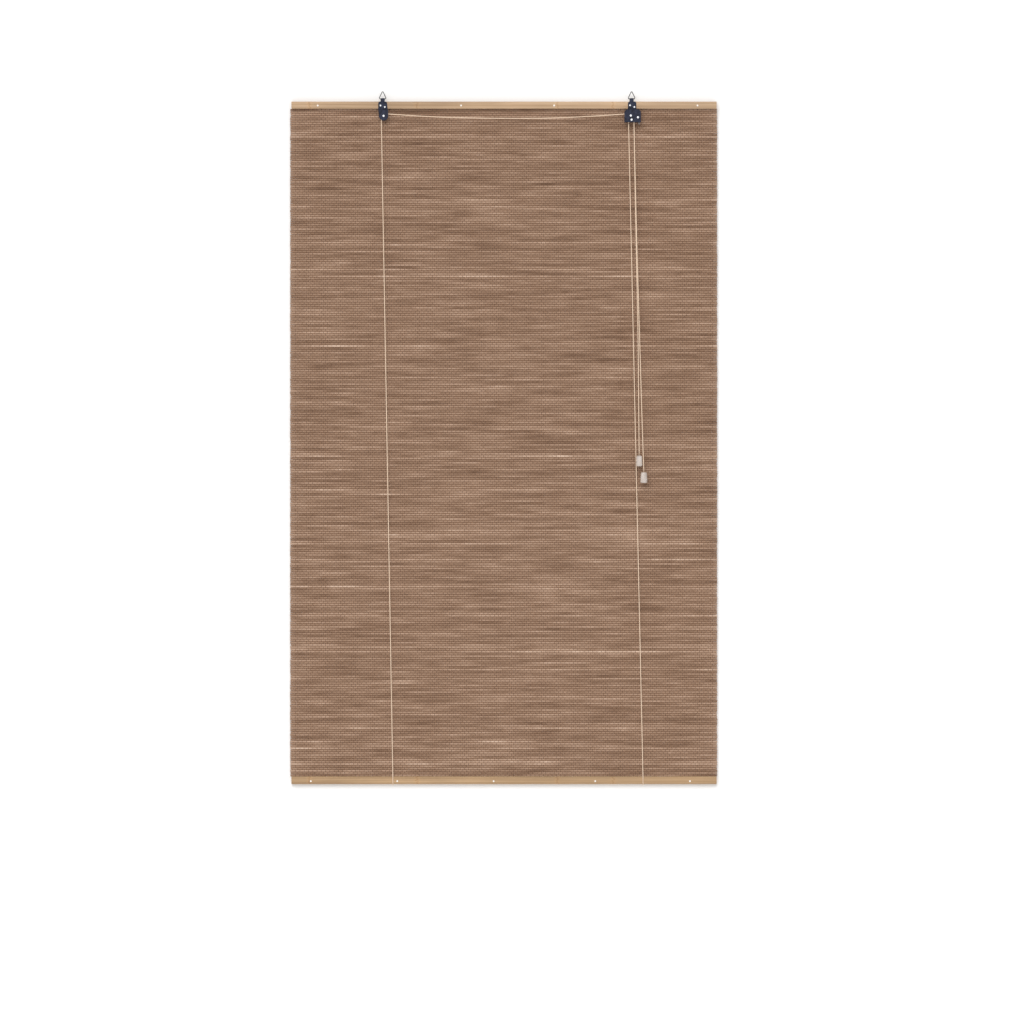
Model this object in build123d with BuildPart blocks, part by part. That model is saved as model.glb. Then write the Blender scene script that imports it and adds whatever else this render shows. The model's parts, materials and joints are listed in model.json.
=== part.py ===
from build123d import *
import math
import os

os.makedirs("parts", exist_ok=True)

# Bamboo roll-up blind, hung from two wire rings and raised by two cords.
# The origin is the centre of the head rail's back face, +X is right, +Z is up and the blind faces -Y.
# A depth is measured forward from the wall, so a depth of d lies at y = -d.

# ---- overall sizes ----
blind_width = 1000.0
mat_drop = 1570.5  # woven mat that shows between the two rails

# ---- rails and mat ----
head_height = 17.0
head_back_thickness = 6.3
head_front_thickness = 8.0
head_round = 4.5  # rounded top front edge of the head rail
foot_height = 18.0
foot_back_thickness = 3.3
foot_front_thickness = 5.0
foot_round = 3.0  # rounded lower front edge that the lift cords run over
edge_round = 1.0  # eased edges of all four battens
slat_width = 4.8
slat_thickness = 1.3
slat_gap = 0.49

# ---- nails and screws ----
nail_radius = 0.7
nail_head_radius = 2.2
nail_head_rise = 0.9
nail_head_rounding = 0.7  # share of the head's rise, as for screws and rivets
nail_clearance = 0.05
head_nail_bite = 4.0  # how far a nail goes into the back batten
foot_nail_bite = 2.3
head_nail_inset = (62.0, 45.0)  # outer nails, from the left and right ends
head_nail_inner = (-101.0, 118.0)
head_nail_z = -1.0
foot_nail_inset = (45.6, 62.6)
foot_nail_inner = (-251.1, -24.3, 214.6)
foot_nail_drop = 11.0  # below the top edge of the bottom rail
screw_radius = 1.1
screw_head_radius = 2.1
screw_head_rise = 1.2
screw_head_rounding = 0.6
screw_bite = 6.5
screw_slot_width = 0.6
screw_slot_depth = 0.5
screw_slot_angle = 35.0

# ---- sheet metal, wheels and rivets ----
sheet = 1.0
wheel_gap = 0.3  # between a wheel and the plates at its sides
rivet_radius = 1.25
rivet_head_radius = 2.6
rivet_head_rise = 1.3
rivet_head_rounding = 0.75
rivet_tail_rise = 1.0
rivet_tail_rounding = 0.5
fit = 0.05  # radial clearance of fixed pins in their holes
running_fit = 0.08  # radial clearance of what turns on a pin
pitch_radius = 5.2  # cord centre to wheel axis on both pulleys

# ---- left bracket ----
bracket_x = -285.4
bracket_body_width = 20.6
bracket_body_radius = 5.0
neck_width = 9.8
neck_rise = 5.9  # ring axis above the top of the head rail
neck_root = 3.0  # how far the neck runs down into the plate
left_pulley_offset = 2.3
left_pulley_drop = 17.1  # below the underside of the head rail
left_wheel_width = 4.4
left_rim_radius = 7.2
left_lobe_radius = 10.8
left_cheek_drop = 3.4
bracket_screws = ((-5.0, -1.1), (5.2, -4.7))

# ---- cord lock ----
lock_x = 300.0
lock_body_offset = 1.3
lock_body_width = 19.6
lock_case_offset = 2.45
lock_case_width = 38.7
lock_case_drop = 2.5
lock_case_height = 29.5
lock_case_shoulder = 7.0  # radius of the case's two upper corners
lock_case_radius = 2.8
lock_screw_places = ((-3.5, -0.7), (6.6, -4.7))
lock_pulley_offset = -1.9
lock_pulley_drop = 16.6
lock_rim_radius = 5.3
lock_wheel_width = 6.2
roller_drop = 26.3
roller_radius = 4.25
cam_offset = 14.8
cam_drop = 20.6
cam_hub_radius = 4.6
cam_jaw_radius = 2.4
cam_jaw_reach = 6.9
cam_jaw_angle = 223.0
cam_tail_angle = 281.0
cam_tail_reach = 17.0
cam_tail_width = 2.4
cam_tooth_depth = 0.7
cam_tooth_turns = (-60, -20, 20, 60)
lane_spacing = 2.3  # between the two cords that share the lock's pulley

# ---- hanging rings ----
ring_wire_radius = 0.9
ring_half_base = 9.0
ring_apex_rise = 19.0
ring_corner_radius = 2.6
ring_apex_radius = 1.6

# ---- cords ----
cord_radius = 1.0
cord_gap = 0.25  # between a cord and the wheel or edge that it goes round
cord_split_drop = 33.5  # level where the moving lengths of cord begin
cord_end_gap = 0.05  # between two lengths of one cord, whose ends are not quite parallel
arc_spacing = 0.1  # taken off the wrap radius, so that two arcs on a pulley do not quite meet
left_loop_x = -261.2  # where each lift cord passes under the bottom rail
right_loop_x = 327.1

# ---- cord eyes and knots behind the mat ----
left_eye_x = -285.4
right_eye_x = 300.0
eye_wire_radius = 0.6
eye_hole_radius = 1.5
eye_shank_radius = 0.8
eye_shank_length = 8.0
eye_drop = 3.2
knot_radius = 2.8
knot_length = 6.0
knot_round = 1.8
knot_loop_spacing = 0.1  # between the loop and the wire that it hangs from
knot_loop_bend = 2.6
knot_loop_half_top = 3.0
knot_loop_half_foot = 1.2
knot_loop_bite = 1.0  # how far the loop's ends go into the knot

# ---- tassels ----
upper_tassel_place = (317.9, 23.0, -824.2)  # x, depth and top
upper_tassel_sizes = (3.4, 6.9, 7.3, 2.4, 25.6)  # tip, shoulder and foot radius, cone rise, height
lower_tassel_place = (328.8, 25.5, -864.0)
lower_tassel_sizes = (6.0, 6.9, 8.4, 1.2, 24.8)
tassel_foot_round = 3.2
tassel_band = 0.3  # share of the height that keeps the foot's full radius
tassel_knot_radius = 3.0
tassel_knot_rounding = 0.6
tassel_pocket_radius = 3.4
tassel_pocket_height = 8.0
tassel_knot_inset = 2.0  # how far the knot stays inside the pocket

# ---- worked out from the sizes above ----
mat_back = head_back_thickness
mat_front = mat_back + slat_thickness
head_face = mat_front + head_front_thickness
foot_face = mat_front + foot_front_thickness
foot_back = mat_back - foot_back_thickness
head_top = head_height / 2
head_bottom = -head_height / 2
foot_top = head_bottom - mat_drop
foot_bottom = foot_top - foot_height
foot_middle = (foot_top + foot_bottom) / 2
visible_slats = round(mat_drop / (slat_width + slat_gap))
slat_pitch = mat_drop / visible_slats
head_slats = int(head_height // slat_pitch)
foot_slats = int(foot_height // slat_pitch)
split_z = head_bottom - cord_split_drop
ring_z = head_top + neck_rise
eye_bore = ring_wire_radius + running_fit
curl_radius = eye_bore + sheet
ring_depth = head_face + sheet - curl_radius
wheel_back = head_face + sheet + wheel_gap
left_lane = wheel_back + left_wheel_width / 2
lock_middle = wheel_back + lock_wheel_width / 2
rear_lane = lock_middle - lane_spacing / 2
front_lane = lock_middle + lane_spacing / 2
groove_radius = cord_radius + cord_gap
left_pulley_at = (bracket_x + left_pulley_offset, head_bottom - left_pulley_drop)
lock_pulley_at = (lock_x + lock_pulley_offset, head_bottom - lock_pulley_drop)
roller_at = (lock_x, head_bottom - roller_drop)
cam_at = (lock_x + cam_offset, head_bottom - cam_drop)


def facing(depth):
    """A plane parallel to the wall, with its normal towards the room."""
    return Plane.XZ.offset(depth)


def across(depth, place):
    """A plane through a wheel's axis, with its local x along +X and its local y along +Y."""
    return Plane(origin=(place[0], -depth, place[1]), x_dir=(1, 0, 0), z_dir=(0, 0, 1))


def polar(place, angle, reach):
    """The point at a reach and an angle, in degrees, from a place seen from the front."""
    turn = math.radians(angle)
    return (place[0] + reach * math.cos(turn), place[1] + reach * math.sin(turn))


# ---- battens ----
head_nails_x = (
    -blind_width / 2 + head_nail_inset[0],
    *head_nail_inner,
    blind_width / 2 - head_nail_inset[1],
)
foot_nails_x = (
    -blind_width / 2 + foot_nail_inset[0],
    *foot_nail_inner,
    blind_width / 2 - foot_nail_inset[1],
)
head_nails_at = [(x, head_nail_z) for x in head_nails_x]
foot_nails_at = [(x, foot_top - foot_nail_drop) for x in foot_nails_x]
bracket_screws_at = [(bracket_x + x, z) for x, z in bracket_screws]
lock_screws_at = [(lock_x + x, z) for x, z in lock_screw_places]

with BuildPart() as head_rail_front:
    with BuildSketch(facing(mat_front)):
        Rectangle(blind_width, head_height)
    extrude(amount=head_front_thickness)
    front = head_rail_front.faces().sort_by(Axis.Y)[0]
    long_edges = front.edges().filter_by(Axis.X).sort_by(Axis.Z)
    fillet(long_edges[-1], head_round)
    fillet(long_edges[0], edge_round)
    with BuildSketch(facing(mat_front)):
        with Locations(*head_nails_at):
            Circle(nail_radius + nail_clearance)
    extrude(amount=head_front_thickness, mode=Mode.SUBTRACT)
    with BuildSketch(facing(head_face - screw_bite)):
        with Locations(*bracket_screws_at, *lock_screws_at):
            Circle(screw_radius + fit)
    extrude(amount=screw_bite, mode=Mode.SUBTRACT)

with BuildPart() as head_rail_back:
    with BuildSketch(Plane.XZ):
        Rectangle(blind_width, head_height)
    extrude(amount=head_back_thickness)
    back = head_rail_back.faces().sort_by(Axis.Y)[-1]
    fillet(back.edges().filter_by(Axis.X), edge_round)
    with BuildSketch(facing(mat_back - head_nail_bite - fit)):
        with Locations(*head_nails_at):
            Circle(nail_radius + nail_clearance)
    extrude(amount=head_nail_bite + fit, mode=Mode.SUBTRACT)
    with BuildSketch(Plane.XY.offset(head_bottom)):
        with Locations((left_eye_x, -mat_back / 2), (right_eye_x, -mat_back / 2)):
            Circle(eye_shank_radius + fit)
    extrude(amount=eye_shank_length, mode=Mode.SUBTRACT)

with BuildPart() as bottom_rail_front:
    with BuildSketch(facing(mat_front)):
        with Locations((0, foot_middle)):
            Rectangle(blind_width, foot_height)
    extrude(amount=foot_front_thickness)
    front = bottom_rail_front.faces().sort_by(Axis.Y)[0]
    long_edges = front.edges().filter_by(Axis.X).sort_by(Axis.Z)
    fillet(long_edges[0], foot_round)
    fillet(long_edges[-1], edge_round)
    with BuildSketch(facing(mat_front)):
        with Locations(*foot_nails_at):
            Circle(nail_radius + nail_clearance)
    extrude(amount=foot_front_thickness, mode=Mode.SUBTRACT)

with BuildPart() as bottom_rail_back:
    with BuildSketch(facing(foot_back)):
        with Locations((0, foot_middle)):
            Rectangle(blind_width, foot_height)
    extrude(amount=foot_back_thickness)
    back = bottom_rail_back.faces().sort_by(Axis.Y)[-1]
    fillet(back.edges().filter_by(Axis.X), edge_round)
    with BuildSketch(facing(mat_back - foot_nail_bite - fit)):
        with Locations(*foot_nails_at):
            Circle(nail_radius + nail_clearance)
    extrude(amount=foot_nail_bite + fit, mode=Mode.SUBTRACT)

# ---- mat: one flat slat per row, the end rows clamped inside the rails and pierced by the nails ----
slat_rows = visible_slats + head_slats + foot_slats
top_row_z = head_bottom + (head_slats - 0.5) * slat_pitch
mat_middle_z = top_row_z - (slat_rows - 1) * slat_pitch / 2

with BuildPart() as bamboo_slats:
    with BuildSketch(facing(mat_back)):
        with Locations((0, mat_middle_z)):
            with GridLocations(blind_width, slat_pitch, 1, slat_rows):
                Rectangle(blind_width, slat_width)
        with Locations(*head_nails_at, *foot_nails_at):
            Circle(nail_radius + nail_clearance, mode=Mode.SUBTRACT)
    extrude(amount=slat_thickness)


# ---- nails, screws and rivets ----
def headed_pins(places, seat, length, radius, head_radius, head_rise, head_round_radius, slotted):
    """Pins that go in from the front: a shank behind the seat depth and a rounded head before it."""
    with BuildPart() as pins:
        with BuildSketch(facing(seat - length)):
            with Locations(*places):
                Circle(radius)
        extrude(amount=length)
        with BuildSketch(facing(seat)):
            with Locations(*places):
                Circle(head_radius)
        extrude(amount=head_rise)
        fillet(pins.faces().group_by(Axis.Y)[0].edges(), head_round_radius)
        if slotted:
            with BuildSketch(facing(seat + head_rise - screw_slot_depth)):
                with Locations(*places):
                    Rectangle(2 * head_radius, screw_slot_width, rotation=screw_slot_angle)
            extrude(amount=screw_slot_depth, mode=Mode.SUBTRACT)
    return pins


head_nail_length = head_front_thickness + slat_thickness + head_nail_bite
foot_nail_length = foot_front_thickness + slat_thickness + foot_nail_bite
nail_head = (nail_radius, nail_head_radius, nail_head_rise, nail_head_rounding * nail_head_rise)
screw_head = (screw_radius, screw_head_radius, screw_head_rise, screw_head_rounding * screw_head_rise)
head_rail_nails = headed_pins(head_nails_at, head_face, head_nail_length, *nail_head, False)
bottom_rail_nails = headed_pins(foot_nails_at, foot_face, foot_nail_length, *nail_head, False)
plate_face = head_face + sheet
screw_length = sheet + screw_bite
left_bracket_screws = headed_pins(bracket_screws_at, plate_face, screw_length, *screw_head, True)
lock_screws = headed_pins(lock_screws_at, plate_face, screw_length, *screw_head, True)


def rivet(place, wheel_width):
    """An axle that joins the plates at the two sides of a wheel, with a domed head at the front."""
    front = wheel_back + wheel_width + wheel_gap + sheet
    with BuildPart() as pin:
        with BuildSketch(facing(head_face)):
            with Locations(place):
                Circle(rivet_radius)
        extrude(amount=front - head_face)
        with BuildSketch(facing(front)):
            with Locations(place):
                Circle(rivet_head_radius)
        extrude(amount=rivet_head_rise)
        fillet(pin.faces().sort_by(Axis.Y)[0].edges(), rivet_head_rounding * rivet_head_rise)
        with BuildSketch(facing(head_face - rivet_tail_rise)):
            with Locations(place):
                Circle(rivet_head_radius)
        extrude(amount=rivet_tail_rise)
        fillet(pin.faces().sort_by(Axis.Y)[-1].edges(), rivet_tail_rounding * rivet_tail_rise)
    return pin


left_pulley_rivet = rivet(left_pulley_at, left_wheel_width)
lock_pulley_rivet = rivet(lock_pulley_at, lock_wheel_width)
lock_roller_rivet = rivet(roller_at, lock_wheel_width)
lock_cam_rivet = rivet(cam_at, lock_wheel_width)


# ---- wheels ----
def pulley(place, width, rim_radius, lanes):
    """A wheel with one round groove for each cord lane, given by its depth."""
    middle = wheel_back + width / 2
    with BuildPart() as wheel:
        with BuildSketch(across(middle, place)):
            with Locations(((rivet_radius + running_fit + rim_radius) / 2, 0)):
                Rectangle(rim_radius - rivet_radius - running_fit, width)
            for lane in lanes:
                with Locations((pitch_radius, middle - lane)):
                    Circle(groove_radius, mode=Mode.SUBTRACT)
                with Locations((pitch_radius + groove_radius, middle - lane)):
                    Rectangle(2 * groove_radius, 2 * groove_radius, mode=Mode.SUBTRACT)
        revolve(axis=Axis((place[0], 0, place[1]), (0, 1, 0)))
    return wheel


left_pulley = pulley(left_pulley_at, left_wheel_width, left_rim_radius, [left_lane])
lock_pulley = pulley(lock_pulley_at, lock_wheel_width, lock_rim_radius, [rear_lane, front_lane])

with BuildPart() as lock_roller:
    with BuildSketch(facing(wheel_back)):
        with Locations(roller_at):
            Circle(roller_radius)
            Circle(rivet_radius + running_fit, mode=Mode.SUBTRACT)
    extrude(amount=lock_wheel_width)

# the cam: a hub, a toothed jaw that pinches the cords and a tail that swings it
jaw_at = polar(cam_at, cam_jaw_angle, cam_jaw_reach)
tail_at = polar(cam_at, cam_tail_angle, cam_tail_reach - cam_tail_width / 2)
with BuildPart() as lock_cam:
    with BuildSketch(facing(wheel_back)):
        with BuildLine():
            CenterArc((*cam_at, 0), cam_hub_radius, 0, 360)
            CenterArc((*jaw_at, 0), cam_jaw_radius, 0, 360)
        make_hull()
    extrude(amount=lock_wheel_width)
    with BuildSketch(facing(wheel_back + lock_wheel_width / 3)):
        with BuildLine():
            CenterArc((*cam_at, 0), cam_tail_width / 2, 0, 360)
            CenterArc((*tail_at, 0), cam_tail_width / 2, 0, 360)
        make_hull()
    extrude(amount=lock_wheel_width / 3)
    with BuildSketch(facing(wheel_back)):
        with Locations(cam_at):
            Circle(rivet_radius + running_fit)
        for turn in cam_tooth_turns:
            tooth_at = polar(jaw_at, cam_jaw_angle + turn, cam_jaw_radius)
            with Locations(tooth_at):
                RegularPolygon(cam_tooth_depth, 3, rotation=cam_jaw_angle + turn + 180)
    extrude(amount=lock_wheel_width, mode=Mode.SUBTRACT)


# ---- plates ----
def neck(centre_x):
    """The plate's top end, rolled backwards into a curl round the ring's wire."""
    eye_plane = Plane(origin=(centre_x - neck_width / 2, -ring_depth, ring_z), z_dir=(1, 0, 0))
    with BuildPart() as strip:
        with BuildSketch(facing(head_face)):
            with Locations((centre_x, (ring_z + head_top - neck_root) / 2)):
                Rectangle(neck_width, ring_z - head_top + neck_root)
        extrude(amount=sheet)
        with BuildSketch(eye_plane):
            Circle(curl_radius)
        extrude(amount=neck_width)
        with BuildSketch(eye_plane):
            Circle(eye_bore)
        extrude(amount=neck_width, mode=Mode.SUBTRACT)
    return strip.part


left_neck = neck(bracket_x)
lock_neck = neck(lock_x)

with BuildPart() as left_bracket:
    with BuildSketch(facing(head_face)):
        body_height = head_height + left_cheek_drop
        with BuildSketch(mode=Mode.PRIVATE) as body:
            with Locations((bracket_x, head_top - body_height / 2)):
                RectangleRounded(bracket_body_width, body_height, bracket_body_radius)
        with BuildSketch(mode=Mode.PRIVATE) as lobe:
            with Locations(left_pulley_at):
                Circle(left_lobe_radius)
        make_hull(body.sketch.edges() + lobe.sketch.edges())
    extrude(amount=sheet)
    cheek_top = head_bottom - left_cheek_drop
    cheek_back = wheel_back + left_wheel_width + wheel_gap
    with BuildSketch(facing(cheek_back)):
        with Locations(left_pulley_at):
            Circle(left_lobe_radius)
        with Locations((left_pulley_at[0], (cheek_top + left_pulley_at[1]) / 2)):
            Rectangle(2 * left_lobe_radius, cheek_top - left_pulley_at[1])
    extrude(amount=sheet)
    with BuildSketch(facing(head_face)):
        with Locations((left_pulley_at[0], cheek_top - sheet / 2)):
            Rectangle(2 * left_lobe_radius, sheet)
    extrude(amount=cheek_back + sheet - head_face)
    add(left_neck)
    with BuildSketch(facing(head_face)):
        with Locations(left_pulley_at):
            Circle(rivet_radius + fit)
        with Locations(*bracket_screws_at):
            Circle(screw_radius + fit)
    extrude(amount=cheek_back + sheet - head_face, mode=Mode.SUBTRACT)

lock_case_top = head_bottom - lock_case_drop
lock_case_middle = (lock_x + lock_case_offset, lock_case_top - lock_case_height / 2)
lock_axles = [lock_pulley_at, roller_at, cam_at]
lock_front = wheel_back + lock_wheel_width + wheel_gap

with BuildPart() as lock_back_plate:
    with BuildSketch(facing(head_face)) as outline:
        with Locations(lock_case_middle):
            Rectangle(lock_case_width, lock_case_height)
        corners = outline.vertices().group_by(Axis.Y)
        fillet(corners[-1], lock_case_shoulder)
        fillet(corners[0], lock_case_radius)
        body_height = head_top - lock_case_middle[1]
        with Locations((lock_x + lock_body_offset, head_top - body_height / 2)):
            RectangleRounded(lock_body_width, body_height, bracket_body_radius)
    extrude(amount=sheet)
    add(lock_neck)
    with BuildSketch(facing(head_face)):
        with Locations(*lock_axles):
            Circle(rivet_radius + fit)
        with Locations(*lock_screws_at):
            Circle(screw_radius + fit)
    extrude(amount=sheet, mode=Mode.SUBTRACT)

with BuildPart() as lock_front_plate:
    with BuildSketch(facing(lock_front)) as outline:
        with Locations(lock_case_middle):
            Rectangle(lock_case_width, lock_case_height)
        corners = outline.vertices().group_by(Axis.Y)
        fillet(corners[-1], lock_case_shoulder)
        fillet(corners[0], lock_case_radius)
    extrude(amount=sheet)
    with BuildSketch(facing(plate_face)):
        with Locations((lock_case_middle[0], lock_case_top - sheet / 2)):
            Rectangle(lock_case_width - 2 * lock_case_shoulder, sheet)
    extrude(amount=lock_front + sheet - plate_face)
    with BuildSketch(facing(lock_front)):
        with Locations(*lock_axles):
            Circle(rivet_radius + fit)
    extrude(amount=sheet, mode=Mode.SUBTRACT)


# ---- hanging rings ----
def hanging_ring(centre_x):
    """A triangle of round wire whose base runs through the curl of the neck."""
    with BuildPart() as ring:
        with BuildLine(facing(ring_depth)):
            wire = FilletPolyline(
                (centre_x - ring_half_base, ring_z),
                (centre_x + ring_half_base, ring_z),
                (centre_x, ring_z + ring_apex_rise),
                radius=[ring_corner_radius, ring_corner_radius, ring_apex_radius],
                close=True,
            )
        with BuildSketch(Plane(origin=wire @ 0, z_dir=wire % 0)):
            Circle(ring_wire_radius)
        sweep()
    return ring


left_hanging_ring = hanging_ring(bracket_x)
right_hanging_ring = hanging_ring(lock_x)


# ---- cord eyes and knots, under the back batten of the head rail ----
def cord_eye(centre_x):
    """A screw eye: a wire ring across X, on a shank that goes up into the batten."""
    eye_z = head_bottom - eye_drop
    wire_ring = eye_hole_radius + eye_wire_radius
    with BuildPart() as eye:
        with Locations((centre_x, -mat_back / 2, eye_z)):
            Torus(wire_ring, eye_wire_radius, rotation=(0, 90, 0))
        with BuildSketch(Plane.XY.offset(eye_z + wire_ring)):
            with Locations((centre_x, -mat_back / 2)):
                Circle(eye_shank_radius)
        extrude(amount=eye_shank_length + head_bottom - eye_z - wire_ring - fit)
    return eye


def anchor_knot(centre_x):
    """The cord's end, looped through the eye and knotted below it."""
    loop_top = head_bottom - eye_drop - eye_hole_radius + cord_radius + knot_loop_spacing
    loop_foot = split_z + knot_length - knot_loop_bite
    with BuildPart() as knot:
        with BuildLine(facing(mat_back / 2)):
            loop = FilletPolyline(
                (centre_x - knot_loop_half_foot, loop_foot),
                (centre_x - knot_loop_half_top, loop_top),
                (centre_x + knot_loop_half_top, loop_top),
                (centre_x + knot_loop_half_foot, loop_foot),
                radius=knot_loop_bend,
            )
        with BuildSketch(Plane(origin=loop @ 0, z_dir=loop % 0)):
            Circle(cord_radius)
        sweep()
        with BuildSketch(Plane.XY.offset(split_z)):
            with Locations((centre_x, -mat_back / 2)):
                Circle(knot_radius)
        extrude(amount=knot_length)
        fillet(knot.faces().sort_by(Axis.Z)[0].edges(), knot_round)
    return knot


left_cord_eye = cord_eye(left_eye_x)
right_cord_eye = cord_eye(right_eye_x)
left_anchor_knot = anchor_knot(left_eye_x)
right_anchor_knot = anchor_knot(right_eye_x)


# ---- cords ----
def natural_radii(points):
    """For each corner, 0.45 of its shorter run over the tangent of half its turn."""
    corners = [Vector(*point) for point in points]
    radii = []
    for before, here, after in zip(corners, corners[1:], corners[2:]):
        arriving = here - before
        leaving = after - here
        half_turn = math.radians(arriving.get_angle(leaving)) / 2
        radii.append(0.45 * min(arriving.length, leaving.length) / math.tan(half_turn))
    return radii


def cord(name, points, tight):
    """A round cord along straight runs and arcs; tight gives the radius at a corner's number."""
    radii = natural_radii(points)
    for corner, radius in tight.items():
        radii[corner] = radius
    with BuildPart() as tube:
        with BuildLine():
            route = FilletPolyline(*points, radius=radii)
        with BuildSketch(Plane(origin=route @ 0, z_dir=route % 0)):
            Circle(cord_radius)
        sweep()
    length = route.length
    share = tube.part.volume / (math.pi * cord_radius**2 * length)
    print(name, f"length {length:.1f}", f"volume/(section*length) {share:.4f}")
    print("   corner radii", [round(radius, 1) for radius in radii])
    return tube


def tangent_angle(far, wheel, radius):
    """Slope of the line from a far point on the left that passes over the top of a wheel."""
    run = math.dist(far, wheel)
    return math.atan2(wheel[1] - far[1], wheel[0] - far[0]) + math.asin(radius / run)


def meet(first, first_angle, second, second_angle):
    """Where two lines cross, each given by a point and an angle in radians."""
    ax, az = math.cos(first_angle), math.sin(first_angle)
    bx, bz = math.cos(second_angle), math.sin(second_angle)
    dx, dz = second[0] - first[0], second[1] - first[1]
    along = (dx * bz - dz * bx) / (ax * bz - az * bx)
    return (first[0] + along * ax, first[1] + along * az)


# both cords leave the lock's pulley on its right, bear on the roller and then hang straight down
roller_path = roller_radius + cord_gap + cord_radius
wheel_span = math.dist(lock_pulley_at, roller_at)
wheel_slope = math.atan2(roller_at[1] - lock_pulley_at[1], roller_at[0] - lock_pulley_at[0])
side_normal = wheel_slope + math.acos((pitch_radius - roller_path) / wheel_span)
side_point = polar(lock_pulley_at, math.degrees(side_normal), pitch_radius)
side_angle = side_normal - math.pi / 2
exit_x = roller_at[0] + roller_path
roller_corner = meet(side_point, side_angle, (exit_x, split_z), math.pi / 2)

# the cross cord: up the left pulley, across with a little sag, over the lock's pulley and out
sag_points = [
    (-236.0, head_bottom - 15.1),
    (-182.0, head_bottom - 18.7),
    (-127.0, head_bottom - 20.9),
    (-71.0, head_bottom - 22.2),
    (-16.0, head_bottom - 23.0),
    (41.0, head_bottom - 23.4),
    (97.0, head_bottom - 22.7),
    (152.0, head_bottom - 20.8),
    (206.0, head_bottom - 18.1),
    (256.0, head_bottom - 14.9),
]
left_slope = tangent_angle(
    (-sag_points[0][0], sag_points[0][1]), (-left_pulley_at[0], left_pulley_at[1]), pitch_radius
)
left_strand_x = left_pulley_at[0] - pitch_radius
left_corner = meet(sag_points[0], math.pi - left_slope, (left_strand_x, split_z), math.pi / 2)
right_slope = tangent_angle(sag_points[-1], lock_pulley_at, pitch_radius)
over_corner = meet(sag_points[-1], right_slope, side_point, side_angle)
lane_step = (front_lane - left_lane) / (len(sag_points) + 1)
cross_points = [(left_strand_x, -left_lane, split_z), (left_corner[0], -left_lane, left_corner[1])]
for step, (x, z) in enumerate(sag_points):
    cross_points.append((x, -left_lane - lane_step * (step + 1), z))
cross_points.append((over_corner[0], -front_lane, over_corner[1]))
cross_points.append((roller_corner[0], -front_lane, roller_corner[1]))
cross_points.append((exit_x, -front_lane, split_z))
cross_tight = {0: pitch_radius, len(sag_points) + 1: pitch_radius, len(sag_points) + 2: roller_path}
cross_cord = cord("cross_cord", cross_points, cross_tight)

# the right cord's short length inside the lock: up, over the pulley and out past the roller
right_strand_x = lock_pulley_at[0] - pitch_radius
lock_top = lock_pulley_at[1] + pitch_radius
top_corner = meet((right_strand_x, lock_top), 0.0, side_point, side_angle)
lock_points = [
    (right_strand_x, -rear_lane, split_z),
    (right_strand_x, -rear_lane, lock_top),
    (top_corner[0], -rear_lane, lock_top),
    (roller_corner[0], -rear_lane, roller_corner[1]),
    (exit_x, -rear_lane, split_z),
]
wrap_radius = pitch_radius - arc_spacing
lock_cord = cord("lock_cord", lock_points, {0: wrap_radius, 1: wrap_radius, 2: roller_path})


def lift_cord(name, eye_x, loop_x, strand_x, strand_depth):
    """A taut loop: down behind the mat, under the bottom rail and up the front."""
    behind = foot_back - cord_gap - cord_radius
    before = foot_face + cord_gap + cord_radius
    below = foot_bottom - cord_gap - cord_radius
    points = [
        (eye_x, -mat_back / 2, split_z - cord_end_gap),
        (loop_x, -behind, below),
        (loop_x, -before, below),
        (strand_x, -strand_depth, split_z - cord_end_gap),
    ]
    edge_path = cord_gap + cord_radius
    return cord(name, points, {0: edge_round + edge_path, 1: foot_round + edge_path})


left_lift_cord = lift_cord("left_lift_cord", left_eye_x, left_loop_x, left_strand_x, left_lane)
right_lift_cord = lift_cord("right_lift_cord", right_eye_x, right_loop_x, right_strand_x, rear_lane)

# the pull cords hang from the lock, each pulled nearly straight by its tassel
upper_x, upper_depth, upper_top = upper_tassel_place
lower_x, lower_depth, lower_top = lower_tassel_place
right_pull_points = [
    (exit_x, -rear_lane, split_z - cord_end_gap),
    (310.3, -20.3, -318.0),
    (315.2, -21.5, -530.0),
    (316.4, -22.3, -690.0),
    (upper_x, -upper_depth, upper_top + cord_end_gap),
]
left_pull_points = [
    (exit_x, -front_lane, split_z - cord_end_gap),
    (311.6, -22.7, -318.0),
    (318.4, -23.8, -530.0),
    (325.2, -25.2, -770.0),
    (lower_x, -lower_depth, lower_top + cord_end_gap),
]
right_pull_cord = cord("right_pull_cord", right_pull_points, {})
left_pull_cord = cord("left_pull_cord", left_pull_points, {})


# ---- tassels, each threaded on its cord and held by a knot in its pocket ----
def tassel(place, sizes):
    """A turned knob with a cord hole down its middle and a pocket for the knot underneath."""
    tip_radius, shoulder_radius, foot_radius, cone_rise, height = sizes
    centre_x, depth, top = place
    bottom = top - height
    with BuildPart() as knob:
        with BuildSketch(Plane.XZ.offset(depth)):
            with BuildLine():
                Polyline(
                    (centre_x, bottom),
                    (centre_x + foot_radius, bottom),
                    (centre_x + foot_radius, bottom + tassel_band * height),
                    (centre_x + shoulder_radius, top - cone_rise),
                    (centre_x + tip_radius, top),
                    (centre_x, top),
                    close=True,
                )
            make_face()
        revolve(axis=Axis((centre_x, -depth, 0), (0, 0, 1)))
        fillet(knob.faces().sort_by(Axis.Z)[0].edges(), tassel_foot_round)
        with BuildSketch(Plane.XY.offset(bottom)):
            with Locations((centre_x, -depth)):
                Circle(tassel_pocket_radius)
        extrude(amount=tassel_pocket_height, mode=Mode.SUBTRACT)
        with BuildSketch(Plane.XY.offset(bottom)):
            with Locations((centre_x, -depth)):
                Circle(cord_radius + running_fit)
        extrude(amount=height, mode=Mode.SUBTRACT)
    return knob


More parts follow.
